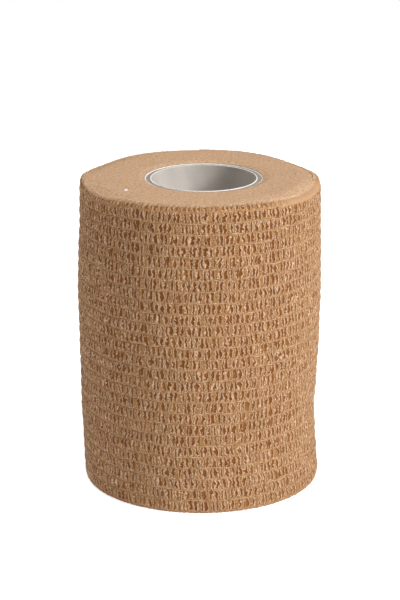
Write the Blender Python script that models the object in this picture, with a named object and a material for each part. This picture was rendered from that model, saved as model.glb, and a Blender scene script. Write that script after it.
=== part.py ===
# A cohesive bandage: one crepe strip wound on a paperboard core, standing on its end.
# Units are metres and +Z is up. The origin is the centre of the foot, and -Y faces the viewer.
import math
from collections import namedtuple

import bmesh
import bpy

# The strip and the pack of turns that it makes
STRIP_WIDTH = 0.076  # the height of the roll
STRIP_THICKNESS = 0.0009  # one relaxed layer, so also the step at the cut end
ROLL_RADIUS = 0.0298  # at the fullest height, halfway round the last turn
TOP_MARGIN = 0.00115  # from the top face to the uppermost elastic thread
FOOT_MARGIN = 0.0006  # from the lowest elastic thread to the foot
SHOULDER_INSET = 0.0015  # how far the last layers roll in over the top margin
FOOT_ROUNDING = 0.0005  # the foot is pressed nearly square
ROW_PITCH = 0.00275  # from one elastic thread to the next
ROW_PINCH = 0.00025  # how far a thread draws the cloth in
CUT_END_ANGLE = math.radians(90)  # from +X, so the cut end lies behind the roll

# The core tube
CORE_BORE_RADIUS = 0.0127
CORE_WALL = 0.0016
CORE_PLY = 0.00035  # the white liner on each side of the grey board
CORE_BOARD_DROP = 0.00015  # the board's edge lies this much lower than the liners'
CORE_RECESS = 0.0004  # the cloth stands this far past the core at both ends
CORE_SHIFT = 0.0008  # the turns are thicker on the left, which moves the core to +X
SEAT_GAP = 0.0003  # between the core and the first turn

SEGMENTS = 64  # flats round the roll and round the core
ROUNDING_STEPS = 3

# The roll seen from the front. Height is a share of STRIP_WIDTH, radius of ROLL_RADIUS,
# and sway, a sideways shift towards +X, of STRIP_THICKNESS.
Section = namedtuple("Section", "height radius sway")
BARREL = (
    Section(height=0.00, radius=0.977, sway=0.15),
    Section(height=0.08, radius=0.973, sway=-0.25),
    Section(height=0.16, radius=0.969, sway=-0.60),
    Section(height=0.24, radius=0.970, sway=-0.95),
    Section(height=0.34, radius=0.980, sway=-0.70),
    Section(height=0.48, radius=0.992, sway=-0.55),
    Section(height=0.64, radius=1.000, sway=-0.55),
    Section(height=0.76, radius=0.994, sway=-0.45),
    Section(height=0.86, radius=0.984, sway=-0.30),
    Section(height=0.95, radius=0.981, sway=-0.30),
    Section(height=1.00, radius=0.972, sway=-0.40),
)


def clear_scene():
    for old in list(bpy.data.objects):
        bpy.data.objects.remove(old)


def eased(low, high, share):
    # A level start and end at each section, so that the outline has no corners
    return low + (high - low) * (1 - math.cos(math.pi * share)) / 2


def barrel_at(height):
    for below, above in zip(BARREL, BARREL[1:]):
        if height <= above.height:
            break
    share = min(1, max(0, (height - below.height) / (above.height - below.height)))
    return (
        ROLL_RADIUS * eased(below.radius, above.radius, share),
        STRIP_THICKNESS * eased(below.sway, above.sway, share),
    )


def outline_levels():
    # (z, inset from the barrel) from the foot to the top, over the rounded ends and every row
    threaded = STRIP_WIDTH - TOP_MARGIN - FOOT_MARGIN
    rows = max(1, round(threaded / ROW_PITCH))
    half_row = threaded / rows / 2
    foot = []
    shoulder = []
    for step in range(ROUNDING_STEPS):
        angle = math.pi / 2 * step / ROUNDING_STEPS
        rise = 1 - math.cos(angle)
        inset = 1 - math.sin(angle)
        foot.append((FOOT_ROUNDING * rise, ROW_PINCH + FOOT_ROUNDING * inset))
        shoulder.append((STRIP_WIDTH - TOP_MARGIN * rise, ROW_PINCH + SHOULDER_INSET * inset))
    ribs = []
    for level in range(2 * rows + 1):
        pinch = ROW_PINCH if level % 2 == 0 else 0
        ribs.append((FOOT_MARGIN + level * half_row, pinch))
    return foot + ribs + shoulder[::-1]


def angle_at(turn):
    # The strip runs clockwise, seen from above, from the cut end inwards
    return CUT_END_ANGLE - 2 * math.pi * turn


def wound_ring(mesh, z, inset):
    # One ring of the last turn. It spirals in by one layer, and its two ends make the cut end
    radius, sway = barrel_at(z / STRIP_WIDTH)
    ring = []
    for column in range(SEGMENTS + 1):
        turn = column / SEGMENTS
        angle = angle_at(turn)
        reach = radius - inset + STRIP_THICKNESS * (0.5 - turn)
        ring.append(mesh.verts.new((sway + reach * math.cos(angle), reach * math.sin(angle), z)))
    return ring


def core_ring(mesh, radius, z):
    ring = []
    for column in range(SEGMENTS):
        angle = angle_at(column / SEGMENTS)
        ring.append(mesh.verts.new((CORE_SHIFT + radius * math.cos(angle), radius * math.sin(angle), z)))
    return ring


def join_rings(mesh, first, second):
    count = len(first)
    for column in range(count):
        after = (column + 1) % count
        mesh.faces.new((first[column], first[after], second[after], second[column]))


def cap_wound_end(mesh, bore, outer):
    # The end face of the pack: the outer ring has one more point, where the cut end steps in
    for column in range(SEGMENTS):
        after = (column + 1) % SEGMENTS
        mesh.faces.new((bore[column], bore[after], outer[column + 1], outer[column]))
    mesh.faces.new((bore[0], outer[0], outer[SEGMENTS]))


def add_part(name, mesh, material):
    bmesh.ops.recalc_face_normals(mesh, faces=mesh.faces)
    data = bpy.data.meshes.new(name)
    mesh.to_mesh(data)
    mesh.free()
    data.materials.append(material)
    data.shade_smooth()
    data.set_sharp_from_angle(angle=math.radians(30))
    part = bpy.data.objects.new(name, data)
    bpy.context.scene.collection.objects.link(part)
    return part


def make_material(name, colour, roughness):
    material = bpy.data.materials.new(name)
    material.use_nodes = True
    shader = material.node_tree.nodes["Principled BSDF"]
    shader.inputs["Base Color"].default_value = (*colour, 1)
    shader.inputs["Roughness"].default_value = roughness
    shader.inputs["Metallic"].default_value = 0
    return material


def make_bandage(cloth):
    mesh = bmesh.new()
    levels = outline_levels()
    rings = [wound_ring(mesh, z, inset) for z, inset in levels]
    for lower, upper in zip(rings, rings[1:]):
        join_rings(mesh, lower, upper)
    bore_radius = CORE_BORE_RADIUS + CORE_WALL + SEAT_GAP
    bore_foot = core_ring(mesh, bore_radius, 0)
    bore_top = core_ring(mesh, bore_radius, STRIP_WIDTH)
    join_rings(mesh, bore_foot, bore_top)
    cap_wound_end(mesh, bore_foot, rings[0])
    cap_wound_end(mesh, bore_top, rings[-1])
    return add_part("bandage", mesh, cloth)


def make_core(board):
    # The rim has three steps: inner liner, the lower board edge, outer liner
    mesh = bmesh.new()
    inner = CORE_BORE_RADIUS
    outer = CORE_BORE_RADIUS + CORE_WALL
    foot = CORE_RECESS
    top = STRIP_WIDTH - CORE_RECESS
    profile = [
        (inner, foot),
        (inner, top),
        (inner + CORE_PLY, top),
        (inner + CORE_PLY, top - CORE_BOARD_DROP),
        (outer - CORE_PLY, top - CORE_BOARD_DROP),
        (outer - CORE_PLY, top),
        (outer, top),
        (outer, foot),
        (outer - CORE_PLY, foot),
        (outer - CORE_PLY, foot + CORE_BOARD_DROP),
        (inner + CORE_PLY, foot + CORE_BOARD_DROP),
        (inner + CORE_PLY, foot),
    ]
    rings = [core_ring(mesh, radius, z) for radius, z in profile]
    for ring, following in zip(rings, rings[1:] + rings[:1]):
        join_rings(mesh, ring, following)
    return add_part("core", mesh, board)


clear_scene()
make_bandage(make_material("crepe_cloth", colour=(0.55, 0.34, 0.19), roughness=0.9))
make_core(make_material("core_board", colour=(0.62, 0.58, 0.53), roughness=0.6))
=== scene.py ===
import math
from collections import namedtuple

import bmesh
import bpy
import numpy as np
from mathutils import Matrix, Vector


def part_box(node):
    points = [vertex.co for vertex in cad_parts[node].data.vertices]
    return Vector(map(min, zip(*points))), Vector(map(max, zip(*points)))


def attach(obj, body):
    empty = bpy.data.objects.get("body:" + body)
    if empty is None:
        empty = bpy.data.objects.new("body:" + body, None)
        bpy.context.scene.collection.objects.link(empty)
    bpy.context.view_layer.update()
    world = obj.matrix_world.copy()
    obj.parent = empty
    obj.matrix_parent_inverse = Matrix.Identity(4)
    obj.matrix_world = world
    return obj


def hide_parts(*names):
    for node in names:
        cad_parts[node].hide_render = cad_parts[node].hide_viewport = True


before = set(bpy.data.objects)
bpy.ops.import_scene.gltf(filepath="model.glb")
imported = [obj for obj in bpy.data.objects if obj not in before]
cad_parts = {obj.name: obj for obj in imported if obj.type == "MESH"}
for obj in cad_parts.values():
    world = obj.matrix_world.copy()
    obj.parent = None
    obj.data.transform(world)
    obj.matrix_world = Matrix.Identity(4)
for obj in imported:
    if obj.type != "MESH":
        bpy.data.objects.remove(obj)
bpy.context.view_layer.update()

mm = 0.001
rollLow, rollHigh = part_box("bandage")
coreLow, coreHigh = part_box("core")
print("frame: roll", rollHigh - rollLow, "core", coreHigh - coreLow)

# What both cloth pieces share: one strip, wound inwards from the cut end behind the roll
strip = {
    "width": rollHigh.z - rollLow.z,
    "layer": 0.9 * mm,  # one relaxed layer
    "cloth": 0.82 * mm,  # the cloth itself, a little less than the room for it
    "cutEnd": math.radians(90),  # where the cut end lies, from +X
    "topMargin": 1.15 * mm,  # from the top face to the uppermost thread
    "footMargin": 0.6 * mm,  # from the lowest thread to the foot
    "shoulder": 1.5 * mm,  # how far the last turn rolls in at the top
    "foot": 0.5 * mm,  # the foot is pressed nearly square
    "rowPitch": 2.75 * mm,  # from one elastic thread to the next
    "rowPinch": 0.25 * mm,  # how far a thread draws the cloth in
    "coreShift": (coreHigh.x + coreLow.x) / 2,
    "boreReach": (coreHigh.x - coreLow.x) / 2 + 0.06 * mm,
}


class Wire:
    # A node's output that adds and multiplies like a number, so that a tree reads as a sum

    def __init__(self, tree, socket):
        self.tree = tree
        self.socket = socket

    def __add__(self, other):
        return sumOf(self.tree, "ADD", self, other)

    def __radd__(self, other):
        return sumOf(self.tree, "ADD", other, self)

    def __sub__(self, other):
        return sumOf(self.tree, "SUBTRACT", self, other)

    def __rsub__(self, other):
        return sumOf(self.tree, "SUBTRACT", other, self)

    def __mul__(self, other):
        return sumOf(self.tree, "MULTIPLY", self, other)

    def __rmul__(self, other):
        return sumOf(self.tree, "MULTIPLY", other, self)

    def __truediv__(self, other):
        return sumOf(self.tree, "DIVIDE", self, other)


def feed(tree, socket, value):
    if isinstance(value, Wire):
        tree.links.new(value.socket, socket)
    else:
        socket.default_value = value


def addNode(tree, kind, inputs=None, **settings):
    node = tree.nodes.new(kind)
    for key, value in settings.items():
        setattr(node, key, value)
    for key, value in (inputs or {}).items():
        feed(tree, node.inputs[key], value)
    return node


def sumOf(tree, operation, *values):
    node = addNode(tree, "ShaderNodeMath", operation=operation)
    for socket, value in zip(node.inputs, values):
        feed(tree, socket, value)
    return Wire(tree, node.outputs[0])


def ramp(value, low, high):
    # 0 below low, 1 above high and a soft step between
    node = addNode(value.tree, "ShaderNodeMapRange", interpolation_type="SMOOTHSTEP")
    for key, item in (("Value", value), ("From Min", low), ("From Max", high)):
        feed(value.tree, node.inputs[key], item)
    return Wire(value.tree, node.outputs["Result"])


def blend(first, second, share):
    return first + (second - first) * share


def vector(tree, x, y, z):
    node = addNode(tree, "ShaderNodeCombineXYZ", {"X": x, "Y": y, "Z": z})
    return Wire(tree, node.outputs[0])


def scaled(wire, amount):
    # A place or a colour times a number
    node = addNode(wire.tree, "ShaderNodeVectorMath", {0: wire, "Scale": amount}, operation="SCALE")
    return Wire(wire.tree, node.outputs[0])


def split(wire):
    node = addNode(wire.tree, "ShaderNodeSeparateXYZ", {0: wire})
    return [Wire(wire.tree, output) for output in node.outputs]


def noise(place, scale, detail=2.0, roughness=0.5):
    node = addNode(place.tree, "ShaderNodeTexNoise", {
        "Vector": place, "Scale": scale, "Detail": detail, "Roughness": roughness,
    })
    return Wire(place.tree, node.outputs[0])


def cells(place, feature, dimensions="1D", randomness=1.0):
    node = addNode(place.tree, "ShaderNodeTexVoronoi", feature=feature, voronoi_dimensions=dimensions)
    feed(place.tree, node.inputs["W" if dimensions == "1D" else "Vector"], place)
    node.inputs["Scale"].default_value = 1
    node.inputs["Randomness"].default_value = randomness
    return node


# Geometry Nodes: a tree with named inputs, its modifier, and the plain mesh that comes out
def newTree(name, inputs):
    tree = bpy.data.node_groups.new(name, "GeometryNodeTree")
    tree.interface.new_socket("Geometry", in_out="INPUT", socket_type="NodeSocketGeometry")
    tree.interface.new_socket("Geometry", in_out="OUTPUT", socket_type="NodeSocketGeometry")
    for label, value in inputs.items():
        socket = tree.interface.new_socket(label, in_out="INPUT", socket_type="NodeSocketFloat")
        socket.default_value = value
    source = tree.nodes.new("NodeGroupInput")
    wires = {output.name: Wire(tree, output) for output in source.outputs if output.name}
    return tree, wires


def readAttribute(tree, name):
    node = addNode(tree, "GeometryNodeInputNamedAttribute", {"Name": name}, data_type="FLOAT")
    return Wire(tree, node.outputs[0])


def keepAttribute(geometry, name, value, kind="FLOAT"):
    node = addNode(geometry.tree, "GeometryNodeStoreNamedAttribute",
                   {"Geometry": geometry, "Name": name}, data_type=kind, domain="POINT")
    feed(geometry.tree, node.inputs["Value"], value)
    return Wire(geometry.tree, node.outputs[0])


def movePoints(geometry, place):
    node = addNode(geometry.tree, "GeometryNodeSetPosition", {"Geometry": geometry, "Position": place})
    return Wire(geometry.tree, node.outputs[0])


def endTree(geometry, material):
    tree = geometry.tree
    real = addNode(tree, "GeometryNodeRealizeInstances", {"Geometry": geometry})
    dressed = addNode(tree, "GeometryNodeSetMaterial", {"Geometry": Wire(tree, real.outputs[0])})
    dressed.inputs["Material"].default_value = material
    feed(tree, tree.nodes.new("NodeGroupOutput").inputs[0], Wire(tree, dressed.outputs[0]))


def useTree(piece, tree, inputs):
    modifier = piece.modifiers.new(tree.name, "NODES")
    modifier.node_group = tree
    for item in tree.interface.items_tree:
        if item.in_out == "INPUT" and item.name in inputs:
            modifier[item.identifier] = float(inputs[item.name])


def settle(piece):
    # The evaluated shape as a plain mesh, with the trees taken off again
    ready = piece.evaluated_get(bpy.context.evaluated_depsgraph_get())
    piece.data = bpy.data.meshes.new_from_object(ready)
    piece.data.name = piece.name
    piece.modifiers.clear()
    work = bmesh.new()
    work.from_mesh(piece.data)
    bmesh.ops.recalc_face_normals(work, faces=work.faces)
    work.to_mesh(piece.data)
    work.free()
    piece.data.shade_smooth()
    print(piece.name, "has", len(piece.data.vertices), "points")


def newPiece(name, data):
    piece = bpy.data.objects.new(name, data)
    bpy.context.scene.collection.objects.link(piece)
    return piece


# The camera stands a little above the roll, and its lens is long, as in the photograph
shot = {"from": (-0.0002, -0.532, 0.2115), "at": (-0.0001, 0.0, 0.0446), "lens": 136.2}
camera = newPiece("camera", bpy.data.cameras.new("camera"))
camera.data.lens = shot["lens"]
camera.data.clip_start = 0.01
camera.location = shot["from"]
camera.rotation_euler = (Vector(shot["at"]) - Vector(shot["from"])).to_track_quat("-Z", "Y").to_euler()
bpy.context.scene.camera = camera


# The outline of the CAD roll, felt for from both sides in the middle of each row
def feelBarrel(middles):
    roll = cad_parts["bandage"]
    turnRight = (strip["cutEnd"] / math.tau) % 1
    turnLeft = (strip["cutEnd"] / math.tau - 0.5) % 1
    reaches = []
    sways = []
    for height in middles:
        right = roll.ray_cast(Vector((0.1, 0, height)), Vector((-1, 0, 0)))[1].x
        left = -roll.ray_cast(Vector((-0.1, 0, height)), Vector((1, 0, 0)))[1].x
        reaches.append((right + left) / 2 - strip["layer"] * (1 - turnRight - turnLeft) / 2)
        sways.append((right - left) / 2 - strip["layer"] * (turnLeft - turnRight) / 2)
    return reaches, sways


threaded = strip["width"] - strip["topMargin"] - strip["footMargin"]
rowCount = round(threaded / strip["rowPitch"])
rowHeight = threaded / rowCount
rowMiddles = [strip["footMargin"] + (row + 0.5) * rowHeight for row in range(rowCount)]
rowReaches, rowSways = feelBarrel(rowMiddles)
outerReach = sum(rowReaches) / rowCount + strip["layer"] / 2
turnCount = (outerReach - strip["boreReach"]) / strip["layer"]
print("barrel:", round(outerReach / mm, 2), "mm reach,", round(turnCount, 1), "turns")


def stripLengthTo(turn):
    # The strip's length from its cut end, on a spiral that steps in by one layer each turn
    return math.tau * (outerReach * turn - strip["layer"] * turn ** 2 / 2)


# The strip before it is puckered and wound: its length along X, width along Y, thickness along -Z.
# A ring is one line of points along it, in order round its section.
Ring = namedtuple("Ring", "height inset tilt rowAt relief")


def cutStrip(name, rings, columns, start, end):
    count = len(rings)
    along = np.linspace(start, end, columns + 1)
    points = [(x, ring.height, -ring.inset) for x in along for ring in rings]
    faces = []
    for column in range(columns):
        for ring in range(count):
            here = column * count + ring
            beside = column * count + (ring + 1) % count
            faces.append((here, here + count, beside + count, beside))
    faces.append(tuple(range(count)))
    faces.append(tuple(columns * count + ring for ring in reversed(range(count))))
    data = bpy.data.meshes.new(name)
    data.from_pydata(points, [], faces)
    heights = [ring.height for ring in rings]
    values = {
        "tilt": [ring.tilt for ring in rings],
        "rowAt": [ring.rowAt for ring in rings],
        "relief": [ring.relief for ring in rings],
        "reach": np.interp(heights, rowMiddles, rowReaches),
        "sway": np.interp(heights, rowMiddles, rowSways),
    }
    for key, ringValues in values.items():
        data.attributes.new(key, "FLOAT", "POINT").data.foreach_set("value", np.tile(ringValues, columns + 1))
    data.attributes.new("along", "FLOAT", "POINT").data.foreach_set("value", np.repeat(along, count))
    return newPiece(name, data)


def mirrored(rings):
    # The same rings at the foot, from the inside out
    return [
        Ring(strip["width"] - ring.height, ring.inset, -ring.tilt, rowCount - ring.rowAt, ring.relief)
        for ring in reversed(rings)
    ]


# The outer turn: fine enough for every pucker, and rolled over at both ends
crepe = {
    "length": 192.8 * mm,  # one turn and the overlap under the cut end
    "columns": 760,
    "rowSteps": (0, 0.2, 0.5, 0.8),
    "shoulderSteps": 4,
    "shoulderRows": 0.7,  # the folds' share of a row that lies on the shoulder
    "shoulderRelief": 0.72,
    "lipRise": 0.05 * mm,  # the last turn's edge stands up a little where it ends on the face
    "lipWidth": 0.14 * mm,
    "pucker": 1.30 * mm,  # from one pit to the next, on average
    "crinkle": 0.70 * mm,  # from one fine crinkle to the next in the flats between pits
    "squiggle": 0.85 * mm,  # how soon a ridge bends the other way
    "bow": 1.9 * mm,  # neighbours within this length bow the same way between two threads
    "lean": 2.6 * mm,  # and within this length they lean the same way
    "quiver": 0.9 * mm,  # how soon a thread turns up or down between two pits
    "calm": (43 * mm, 52 * mm, 66 * mm, 78 * mm),  # the shoulder has no folds here, at the right front
    "flat": (40 * mm, 50 * mm, 60 * mm, 74 * mm),  # and the wall below it is pressed flatter
    "leftSideShade": (98 * mm, 125 * mm),  # painted shade: from the front to the left the creases at the threads are painted darker and the light thread lines fainter
}


def rolledEnd(margin, rise, inset, firstStep):
    # Rings over the top end of the last turn and back down inside it
    top = strip["width"]
    edge = strip["rowPinch"] + inset
    lip = crepe["lipWidth"]
    begun = (margin - rise) / rowHeight  # the share of a row that is passed before the rounding
    rings = []
    for step in range(firstStep, crepe["shoulderSteps"] + 1):
        share = step / crepe["shoulderSteps"]
        tilt = math.pi / 2 * share
        height = top - rise * (1 - math.sin(tilt))
        depth = strip["rowPinch"] + inset * (1 - math.cos(tilt))
        rowAt = rowCount + blend(begun, crepe["shoulderRows"], share)
        rings.append(Ring(height, depth, tilt, rowAt, crepe["shoulderRelief"]))
    return rings + [
        Ring(top + crepe["lipRise"], edge + lip, math.pi / 2, rowCount + 0.95, 0.2),
        Ring(top - crepe["lipRise"], edge + 2 * lip, math.pi / 2, rowCount + 0.98, 0),
        Ring(top - strip["cloth"], edge - lip, math.pi / 2, rowCount + 0.98, 0),
        Ring(top - rise - strip["cloth"], strip["cloth"], 0, rowCount + 0.98, 0),
    ]


def outerRings():
    wall = []
    for row in range(rowCount):
        for share in crepe["rowSteps"]:
            height = strip["footMargin"] + (row + share) * rowHeight
            wall.append(Ring(height, strip["rowPinch"] * (1 - math.sin(math.pi * share)), 0, row + share, 1))
    wall.append(Ring(strip["width"] - strip["topMargin"], strip["rowPinch"], 0, rowCount, 1))
    inside = [
        Ring(height * strip["width"], strip["cloth"], 0, -0.02, 0)
        for height in (0.75, 0.5, 0.25)
    ]
    top = rolledEnd(strip["topMargin"], strip["topMargin"], strip["shoulder"], 1)
    foot = rolledEnd(strip["footMargin"], strip["foot"], strip["foot"], 0)
    return wall + top + inside + mirrored(foot)


# The turns below it: only their edges show, pressed flat at both ends of the roll
inner = {
    "columnPitch": 0.50 * mm,
    "edgeSteps": 2,
    "heights": (0.02, 0.10, 0.18, 0.27, 0.50, 0.75, 0.98),  # so that they keep to the barrel too
    "start": 0.02,
}


def innerRings():
    top = strip["width"]
    depth = strip["layer"]
    edge = []
    for step in range(inner["edgeSteps"] + 1):
        share = step / inner["edgeSteps"]
        edge.append(Ring(top, share * depth, math.pi / 2, rowCount + share, 0))
    outside = [Ring(height * top, 0, 0, -0.02, 0) for height in inner["heights"]]
    inside = [Ring(height * top, depth, 0, -0.02, 0) for height in reversed(inner["heights"])]
    return outside + edge + inside + mirrored(edge)


# The crepe as a pattern that the shape and the finish both read: along is the way from the cut end,
# and rowAt counts the elastic threads from the foot
def crepePattern(along, rowAt):
    tree = along.tree
    waves = noise(vector(tree, along / (3.2 * mm), rowAt * 0.8, 0.0), 1.0, 1.0) - 0.5
    quiver = noise(vector(tree, along / crepe["quiver"], rowAt * 0.7, 4.0), 1.0, 1.0) - 0.5
    rowAt = rowAt + waves * 0.30 + quiver * 0.26
    row = sumOf(tree, "FLOOR", rowAt)
    share = rowAt - row
    arch = 4 * share * (1 - share)
    place = vector(tree, along / crepe["squiggle"], rowAt * 3.3, 0.0)
    squiggle = noise(place, 1.0, 1.0) - 0.5
    fine = noise(scaled(place, 1.5), 1.0, 1.0) - 0.5
    grain = noise(place, 3.3, 2.0) - 0.5
    bow = noise(vector(tree, along / crepe["bow"], row * 7.3, 0.0), 1.0, 1.0) - 0.5
    lean = noise(vector(tree, along / crepe["lean"], row * 5.3, 9.0), 1.0, 1.0) - 0.5

    # The folds stand side by side in each row, and each pit has its own width, top and bottom
    bends = squiggle * 1.2 + fine * 0.35 + grain * 0.15 + bow * arch * 1.5 + lean * (share - 0.5) * 2.0
    across = along + bends * mm
    pits = cells(across / crepe["pucker"] + row * 31.7, "F1", randomness=0.5)
    chance = split(Wire(tree, pits.outputs["Color"]))
    reach = Wire(tree, pits.outputs["Distance"]) + grain * 0.05 + squiggle * 0.08
    half = (0.165 + 0.11 * chance[0]) * (0.5 + 0.5 * arch)
    foot = chance[1] * chance[1] * 0.18
    head = chance[2] * chance[2] * 0.18
    opened = ramp(share, foot, foot + 0.11) * ramp(1 - share, head, head + 0.11)
    calm = ramp(along, crepe["calm"][0], crepe["calm"][1]) - ramp(along, crepe["calm"][2], crepe["calm"][3])
    calm = calm * ramp(rowAt, rowCount - 0.25, rowCount + 0.1)
    folded = 1 - calm * 0.85
    flat = ramp(along, crepe["flat"][0], crepe["flat"][1]) - ramp(along, crepe["flat"][2], crepe["flat"][3])
    eased = 1 - 0.6 * flat
    worn = noise(vector(tree, along / (5 * mm), rowAt * 0.6, 0.0), 1.0, 2.0) + (rowAt / rowCount - 0.5) * 0.16
    patch = ramp(worn + chance[1] * 0.2, 0.38, 0.62)
    beside = sumOf(tree, "ABSOLUTE", reach - half - 0.095)

    # Finer forms fill the flats between the pits
    between = ramp(reach - half, 0.16, 0.24)
    bent = (across + fine * 1.2 * mm) / crepe["crinkle"] + row * 17.1
    crinkle = Wire(tree, cells(bent, "DISTANCE_TO_EDGE").outputs["Distance"])
    spot = Wire(tree, cells(scaled(place, 1.6), "F1", "2D").outputs["Distance"])
    nearThread = sumOf(tree, "MINIMUM", share, 1 - share) + grain * 0.08
    plainTop = 1 - ramp(rowAt, rowCount - 0.4, rowCount - 0.2)
    # Painted shade: from the front to the left the creases darken and the light thread lines fade, as the
    # light grazes there
    leftSideShade = ramp(along, crepe["leftSideShade"][0], crepe["leftSideShade"][1])
    threadShows = ramp(grain - squiggle, -0.20, 0.14) * blend(0.55, 1.0, plainTop) * (1 - leftSideShade * 0.7)
    ridge = (1 - ramp(beside, 0.025, 0.125)) * (0.6 + 0.4 * chance[2]) * ramp(arch, 0.12, 0.42)
    pit = (1 - ramp(reach, half - 0.07, half + 0.08)) * blend(0.55, 1.0, patch) * blend(0.55, 1.0, eased)
    return {
        "ridge": ridge * folded,
        "pit": pit * opened * folded,
        "crinkle": (1 - ramp(crinkle + grain * 0.1, 0.05, 0.19)) * between * opened * folded * eased,
        "blot": ramp(fine, -0.02, 0.12) * between * opened * folded * eased,
        "thread": (1 - ramp(nearThread, 0.015, 0.075)) * threadShows,
        "crease": (1 - ramp(nearThread, 0.03, 0.14)) * plainTop,
        "leftSideShade": leftSideShade,
        "dot": (1 - ramp(spot, 0.14, 0.30)) * between * folded * eased,
        "calm": calm,
    }


# One tree puckers the strip between its threads
puckerSizes = {
    "Length": crepe["length"],
    "Pit Depth": 0.20 * mm,
    "Crest Height": 0.08 * mm,
    "Thread Rise": 0.05 * mm,
    "Wander": 0.20 * mm,
}


def makePuckerTree(material):
    tree, size = newTree("pucker between the threads", puckerSizes)
    x, y, z = split(Wire(tree, tree.nodes.new("GeometryNodeInputPosition").outputs[0]))
    tilt = readAttribute(tree, "tilt")
    relief = readAttribute(tree, "relief")
    shape = crepePattern(x, readAttribute(tree, "rowAt"))
    wander = (noise(vector(tree, x, y, 0.0), 160.0, 1.0) - 0.5) * 2 * size["Wander"] * ramp(relief, 0.6, 0.9)
    ends = ramp(x, 0.0, 0.003) * ramp(size["Length"] - x, 0.0, 0.003)
    lift = (shape["ridge"] * size["Crest Height"] - shape["pit"] * size["Pit Depth"]) * blend(0.3, 1.0, ends)
    lift = (lift + shape["thread"] * size["Thread Rise"]) * relief
    newY = y + wander + lift * sumOf(tree, "SINE", tilt)
    newZ = z + lift * sumOf(tree, "COSINE", tilt)
    endTree(movePoints(size["Geometry"], vector(tree, x, newY, newZ)), material)
    return tree


# The other tree winds a flat strip round the core, inwards from the cut end
windSizes = {
    "Outer Reach": outerReach,
    "Bore Reach": strip["boreReach"],
    "Layer": strip["layer"],
    "Turns": turnCount,
    "Cut End": strip["cutEnd"],
    "End Press": 0.62 * mm,
    "Core Shift": strip["coreShift"],
    "Width": strip["width"],
    "Shoulder": strip["rowPinch"] + strip["shoulder"],
    "Square": 0.55,
    "Tuck": 1.9 * mm,
    "Sag": 0.2 * mm,
    "Droop": 7.0 * mm,
    "Core Sink": 0.3 * mm,
    "Felt": 0.10 * mm,
}


def makeWindTree(material):
    tree, size = newTree("wind onto the core", windSizes)
    x, y, z = split(Wire(tree, tree.nodes.new("GeometryNodeInputPosition").outputs[0]))
    tilt = readAttribute(tree, "tilt")
    reach = readAttribute(tree, "reach")
    sway = readAttribute(tree, "sway")
    outer = size["Outer Reach"]
    turn = (outer - sumOf(tree, "SQRT", outer * outer - size["Layer"] * x / math.pi)) / size["Layer"]

    # The shoulder is rolled less on the left, where the roll was pressed square
    whole = sumOf(tree, "FLOOR", turn)
    passed = turn - whole
    square = (ramp(passed, 0.56, 0.70) - ramp(passed, 0.88, 0.97)) * size["Square"]
    below = ramp(turn, 1.002, 1.02)
    inset = z * (1 - square * ramp(tilt, 0.1, 0.2) * (1 - below)) * -1

    # The turns right below the last one are a little narrower, so that the last one can roll over them
    shoulder = size["Shoulder"] * (1 - square)
    covered = 1 - ramp(whole * size["Layer"] - z, shoulder - 0.0003, shoulder + 0.0002)
    tucked = below * covered
    half = size["Width"] / 2
    height = half + (y - half) * (1 - tucked * size["Tuck"] / half)
    inset = blend(inset, sumOf(tree, "MINIMUM", inset, size["Layer"]), tucked)
    pressed = size["End Press"] * (1 - ramp(x, 0.0, 0.011))
    inset = inset + pressed * sumOf(tree, "MAXIMUM", 1 - inset / size["Layer"], 0.0)

    # Deep is the turn that a point's depth belongs to, so each turn's inside lies on the next turn
    deep = turn + inset / size["Layer"]
    out = reach + size["Layer"] / 2 - deep * (reach + size["Layer"] / 2 - size["Bore Reach"]) / size["Turns"]
    out = sumOf(tree, "MAXIMUM", out, size["Bore Reach"])
    centre = blend(sway, size["Core Shift"], ramp(deep, 0.5, size["Turns"]))
    angle = size["Cut End"] - turn * math.tau
    cosine = sumOf(tree, "COSINE", angle)
    sine = sumOf(tree, "SINE", angle)

    # The rim sags a little, most of all on the diagonals, so the top isn't quite round
    rim = ramp(out, outer - 0.0055, outer - 0.0015) * ramp(height, size["Width"] * 0.85, size["Width"])
    diagonal = sine * cosine * cosine * cosine
    height = height - (size["Sag"] + size["Droop"] * diagonal * diagonal) * rim
    sunk = 1 - ramp(out, size["Bore Reach"], size["Bore Reach"] + 0.0016)
    height = half + (height - half) * (1 - sunk * size["Core Sink"] / half)

    # Felting: the pressed edges are uneven, and neighbouring turns move together
    face = sumOf(tree, "SINE", tilt)
    here = vector(tree, centre + out * cosine, out * sine, height)
    lumps = (noise(here, 700.0, 3.0) - 0.5) * 2 * size["Felt"]
    sideways = (noise(here, 450.0, 2.0) - 0.5) * 2 * size["Felt"] * sumOf(tree, "ABSOLUTE", face)
    wound = vector(tree, centre + (out + sideways) * cosine, (out + sideways) * sine,
                   sumOf(tree, "MAXIMUM", height + lumps * face, 0.0))

    geometry = keepAttribute(size["Geometry"], "endFace", sumOf(tree, "ABSOLUTE", face))
    geometry = movePoints(geometry, wound)
    endTree(geometry, material)
    return tree


# Finishes. Every pattern is worked out from the piece's own points or from what the trees kept on it
def newFinish(name, roughness, settings=None):
    finish = bpy.data.materials.new(name)
    finish.use_nodes = True
    tree = finish.node_tree
    shader = tree.nodes["Principled BSDF"]
    shader.inputs["Roughness"].default_value = roughness
    for key, value in (settings or {}).items():
        shader.inputs[key].default_value = value
    return finish, tree, shader


def ownPlace(tree):
    return Wire(tree, tree.nodes.new("ShaderNodeTexCoord").outputs["Object"])


def keptValue(tree, name):
    return Wire(tree, addNode(tree, "ShaderNodeAttribute", attribute_name=name).outputs["Fac"])


def tint(share, first, second):
    # From the first colour to the second as share goes from 0 to 1
    tree = share.tree
    node = addNode(tree, "ShaderNodeMix", data_type="RGBA", clamp_factor=True)
    feed(tree, node.inputs["Factor"], share)
    for socket, colour in ((node.inputs[6], first), (node.inputs[7], second)):
        feed(tree, socket, colour if isinstance(colour, Wire) else (*colour, 1))
    return Wire(tree, node.outputs[2])


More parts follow.
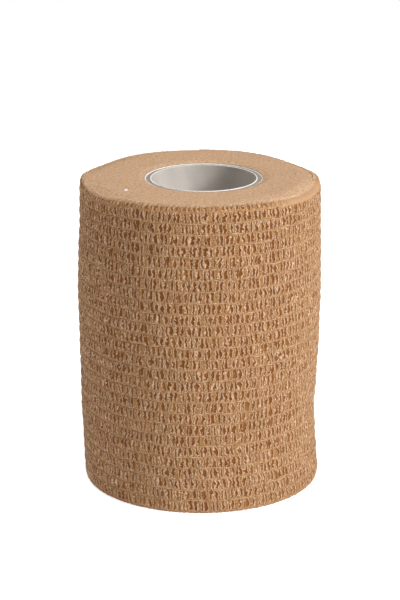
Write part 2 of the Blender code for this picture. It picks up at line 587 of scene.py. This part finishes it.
def bumped(shader, height, distance):
    tree = height.tree
    node = addNode(tree, "ShaderNodeBump", {"Height": height})
    node.inputs["Distance"].default_value = distance
    feed(tree, shader.inputs["Normal"], Wire(tree, node.outputs[0]))


cloth = {
    "plain": (0.346, 0.176, 0.065),
    # the pits' tone: partly the cloth's own deeper colour, partly painted shade of the hollow
    "pit": (0.196, 0.061, 0.008),
    # small dark dots in the flats
    "darkDot": (0.135, 0.042, 0.006),
    # painted highlight: the light tone of ridge tops, crinkles and the lip, where light catches them
    "crestHighlight": (0.725, 0.492, 0.325),
    "glint": (0.830, 0.640, 0.475),
    "thread": (0.635, 0.405, 0.240),
    "cutEdge": (0.528, 0.336, 0.203),
    "lint": (0.90, 0.88, 0.85),
    "lintAt": (-17.5 * mm, -13.4 * mm),
}


def lintShare(here, rough):
    # One fleck of lint lies on the top, left of the core
    x, y, z = split(here)
    x = (x - cloth["lintAt"][0]) / (0.45 * mm)
    y = (y - cloth["lintAt"][1] - x * 0.15 * mm) / (0.75 * mm)
    away = sumOf(here.tree, "SQRT", x * x + y * y) + (rough - 0.5)
    return (1 - ramp(away, 0.75, 1.1)) * ramp(z, strip["width"] * 0.97, strip["width"] * 0.98)


def makeClothFinish():
    finish, tree, shader = newFinish("crepeCloth", 0.72, {"Specular IOR Level": 0.22})
    here = ownPlace(tree)
    fibres = noise(here, 5200.0, 3.0, 0.65)
    mottle = noise(here, 2500.0, 2.0, 0.6)
    blotch = noise(here, 190.0, 2.0)
    relief = keptValue(tree, "relief")
    shape = crepePattern(keptValue(tree, "along"), keptValue(tree, "rowAt"))
    endFace = ramp(keptValue(tree, "endFace"), 0.86, 1.0)

    # Pits, blots and creases darken toward the pit tone: in the pits partly the cloth's own colour and partly
    # painted shade, in the creases painted shade, deepest on the left side
    sunk = shape["pit"] + shape["blot"] * 0.3 + shape["crease"] * blend(0.1, 0.45, shape["leftSideShade"])
    colour = tint(sunk * relief, cloth["plain"], cloth["pit"])
    colour = tint(shape["dot"] * relief * 0.8, colour, cloth["darkDot"])
    # Painted highlight on the ridges and the fine crinkles
    colour = tint((shape["ridge"] * 0.85 + shape["crinkle"] * 0.2) * relief, colour, cloth["crestHighlight"])
    colour = tint(shape["thread"] * relief * 0.85, colour, cloth["thread"])
    glint = 1 - ramp(Wire(tree, cells(scaled(here, 850.0), "F1", "3D").outputs["Distance"]), 0.08, 0.17)
    colour = tint(glint * (1 - shape["pit"]) * relief * 0.6, colour, cloth["glint"])
    colour = tint(shape["calm"] * 0.5, colour, cloth["cutEdge"])
    colour = tint(endFace, colour, cloth["cutEdge"])
    # Painted highlight: a light line along the lip of the last turn where the shoulder lies calm
    colour = tint(ramp(keptValue(tree, "rowAt"), rowCount + 0.6, rowCount + 0.92) * shape["calm"] * 0.9,
                  colour, cloth["crestHighlight"])
    felt = (noise(here, 1500.0, 3.0, 0.55) - 0.5) * endFace
    grains = (mottle - 0.5) * blend(0.35, 0.8, endFace) + (fibres - 0.5) * 0.3
    colour = scaled(colour, 1.0 + grains + felt * 1.3 + (blotch - 0.5) * 0.16)
    colour = tint(lintShare(here, mottle), colour, cloth["lint"])
    feed(tree, shader.inputs["Base Color"], colour)
    raised = shape["ridge"] * 0.6 + shape["crinkle"] * 0.2 + shape["thread"] * 0.4
    height = (raised - shape["pit"] * 0.8 - shape["blot"] * 0.25 - shape["crease"] * 0.85) * relief
    bumped(shader, height + fibres * 0.06 + mottle * 0.2, 0.00021)
    return finish


liner = {"face": (0.64, 0.590, 0.535), "shade": (0.576, 0.531, 0.4815), "edge": (0.86, 0.845, 0.82)}
board = {"grey": (0.33, 0.28, 0.23), "speck": (0.19, 0.15, 0.12)}


def makeLinerFinish():
    finish, tree, shader = newFinish("paperLiner", 0.5)
    here = ownPlace(tree)
    clouds = ramp(noise(here, 190.0, 3.0), 0.3, 0.7)
    fibres = noise(here, 1800.0, 4.0, 0.65)
    colour = tint(clouds, liner["shade"], liner["face"])
    feed(tree, shader.inputs["Base Color"], scaled(colour, 0.93 + 0.12 * fibres))
    bumped(shader, fibres, 0.00003)
    return finish


def makeEdgeFinish(name, pale, dark, roughness):
    finish, tree, shader = newFinish(name, roughness)
    here = ownPlace(tree)
    fibres = noise(here, 3600.0, 4.0, 0.7)
    specks = ramp(noise(here, 2400.0, 2.0), 0.5, 0.72)
    feed(tree, shader.inputs["Base Color"], scaled(tint(specks, pale, dark), 0.85 + 0.3 * fibres))
    bumped(shader, fibres, 0.00008)
    return finish


clothFinish = makeClothFinish()

outerTurn = cutStrip("outer_turn", outerRings(), crepe["columns"], 0.0, crepe["length"])
useTree(outerTurn, makePuckerTree(clothFinish), puckerSizes)
windTree = makeWindTree(clothFinish)
useTree(outerTurn, windTree, windSizes)
settle(outerTurn)

innerEnd = stripLengthTo(turnCount - inner["start"])
innerColumns = round((innerEnd - crepe["length"]) / inner["columnPitch"])
innerTurns = cutStrip("inner_turns", innerRings(), innerColumns, crepe["length"], innerEnd)
useTree(innerTurns, windTree, windSizes)
settle(innerTurns)
innerTurns.data.set_sharp_from_angle(angle=math.radians(40))
print("strip:", round(innerEnd, 2), "m long")


# The core: a grey board tube with a white liner outside and in, cut square at both ends
core = {
    "outer": (coreHigh.x - coreLow.x) / 2,
    "wall": 1.6 * mm,
    "ply": 0.30 * mm,  # a liner's edge as it shows
    "drop": 0.16 * mm,  # the board frays a little below the liners
    "segments": 192,
    "fray": 0.035 * mm,
}


def makeCore():
    outer = core["outer"]
    bore = outer - core["wall"]
    ply = core["ply"]
    top = coreHigh.z
    drop = core["drop"]
    # Radius, height and the finish of the band that follows: 0 liner face, 1 liner edge, 2 board
    upper = [
        (bore, 0.5 * top, 0), (bore, top - 0.4 * mm, 0), (bore, top - 0.05 * mm, 1),
        (bore + 0.3 * ply, top, 1), (bore + 0.8 * ply, top - 0.02 * mm, 1), (bore + ply, top - drop, 2),
        (bore + ply + 0.25 * mm, top - 1.2 * drop, 2), ((bore + outer) / 2, top - drop, 2),
        (outer - ply - 0.25 * mm, top - 1.1 * drop, 2), (outer - ply, top - drop, 1),
        (outer - 0.8 * ply, top - 0.02 * mm, 1), (outer - 0.3 * ply, top, 1), (outer, top - 0.05 * mm, 0),
        (outer, top - 0.4 * mm, 0),
    ]
    middle = (coreLow.z + coreHigh.z) / 2
    lower = [(radius, 2 * middle - height, finish) for radius, height, finish in reversed(upper[1:])]
    # Going back down the outside and inwards along the foot, each band keeps the finish above it
    finishes = [finish for _, _, finish in lower[1:]] + [lower[-1][2]]
    lower = [(radius, height, finish) for (radius, height, _), finish in zip(lower, finishes)]
    profile = upper + lower
    work = bmesh.new()
    rings = []
    for radius, height, finish in profile:
        ring = []
        for step in range(core["segments"]):
            angle = math.tau * step / core["segments"]
            rough = math.sin(angle * 23 + radius * 9000) + math.sin(angle * 61 + radius * 5000) * 0.7
            edge = 1 if abs(height - middle) > middle - 0.35 * mm else 0
            z = height + core["fray"] * rough * edge * 0.5
            x = strip["coreShift"] + radius * math.cos(angle)
            ring.append(work.verts.new((x, radius * math.sin(angle), z)))
        rings.append(ring)
    for index, ring in enumerate(rings):
        following = rings[(index + 1) % len(rings)]
        for step in range(core["segments"]):
            beside = (step + 1) % core["segments"]
            face = work.faces.new((ring[step], ring[beside], following[beside], following[step]))
            face.material_index = profile[index][2]
    bmesh.ops.recalc_face_normals(work, faces=work.faces)
    data = bpy.data.meshes.new("core_tube")
    work.to_mesh(data)
    work.free()
    data.shade_smooth()
    data.set_sharp_from_angle(angle=math.radians(50))
    for finish in (makeLinerFinish(),
                   makeEdgeFinish("linerEdge", liner["edge"], liner["face"], 0.7),
                   makeEdgeFinish("greyBoard", board["grey"], board["speck"], 0.85)):
        data.materials.append(finish)
    return newPiece("core_tube", data)


coreTube = makeCore()
print("core:", len(coreTube.data.polygons), "faces")

# Pieces, the CAD solids that they stand for, and the cloth that they are
for piece, node, slot in ((outerTurn, "bandage", "crepe_cloth"), (innerTurns, "bandage", "crepe_cloth"),
                          (coreTube, "core", "core_board")):
    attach(piece, "root")
    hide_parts(node)
innerEnd - crepe["length"]

# Stage: a white floor in white surroundings, and soft light from the right and above
stage = {
    "floorSize": 6.0,
    "floorColour": (0.80, 0.80, 0.80),
    "floorShade": (0.78, 0.78, 0.78),
    "floorGlow": 0.67,
    "surround": 0.012,
    "key": {"place": (0.755, -0.436, 0.50), "size": 0.40, "power": 9.7},
    "top": {"place": (-0.13, -0.10, 0.9), "size": 0.6, "power": 5.2},
    "rim": {"place": (-0.75, 0.45, 0.35), "size": 0.4, "power": 0.9},
}


def makeFloor():
    half = stage["floorSize"] / 2
    data = bpy.data.meshes.new("floor")
    corners = [(-half, -half, 0), (half, -half, 0), (half, half, 0), (-half, half, 0)]
    data.from_pydata(corners, [], [(0, 1, 2, 3)])
    finish, tree, shader = newFinish("paleFloor", 0.9)
    shade = tint(noise(ownPlace(tree), 3.0), stage["floorColour"], stage["floorShade"])
    feed(tree, shader.inputs["Base Color"], shade)
    shader.inputs["Emission Color"].default_value = (1, 1, 1, 1)
    shader.inputs["Emission Strength"].default_value = stage["floorGlow"]
    data.materials.append(finish)
    floor = newPiece("floor", data)


def makeLamp(name, lamp):
    light = bpy.data.lights.new(name, "AREA")
    light.shape = "DISK"
    light.size = lamp["size"]
    light.energy = lamp["power"]
    holder = newPiece(name, light)
    holder.location = lamp["place"]
    aim = Vector((0, 0, strip["width"] / 2)) - holder.location
    holder.rotation_euler = aim.to_track_quat("-Z", "Y").to_euler()


makeFloor()
for lampName in ("key", "top", "rim"):
    makeLamp(lampName, stage[lampName])
surround = bpy.data.worlds.new("surround")
surround.use_nodes = True
surround.node_tree.nodes["Background"].inputs["Color"].default_value = (1, 1, 1, 1)
surround.node_tree.nodes["Background"].inputs["Strength"].default_value = stage["surround"]
bpy.context.scene.world = surround
bpy.context.scene.view_settings.view_transform = "Standard"
print("stage: a floor and three lamps")
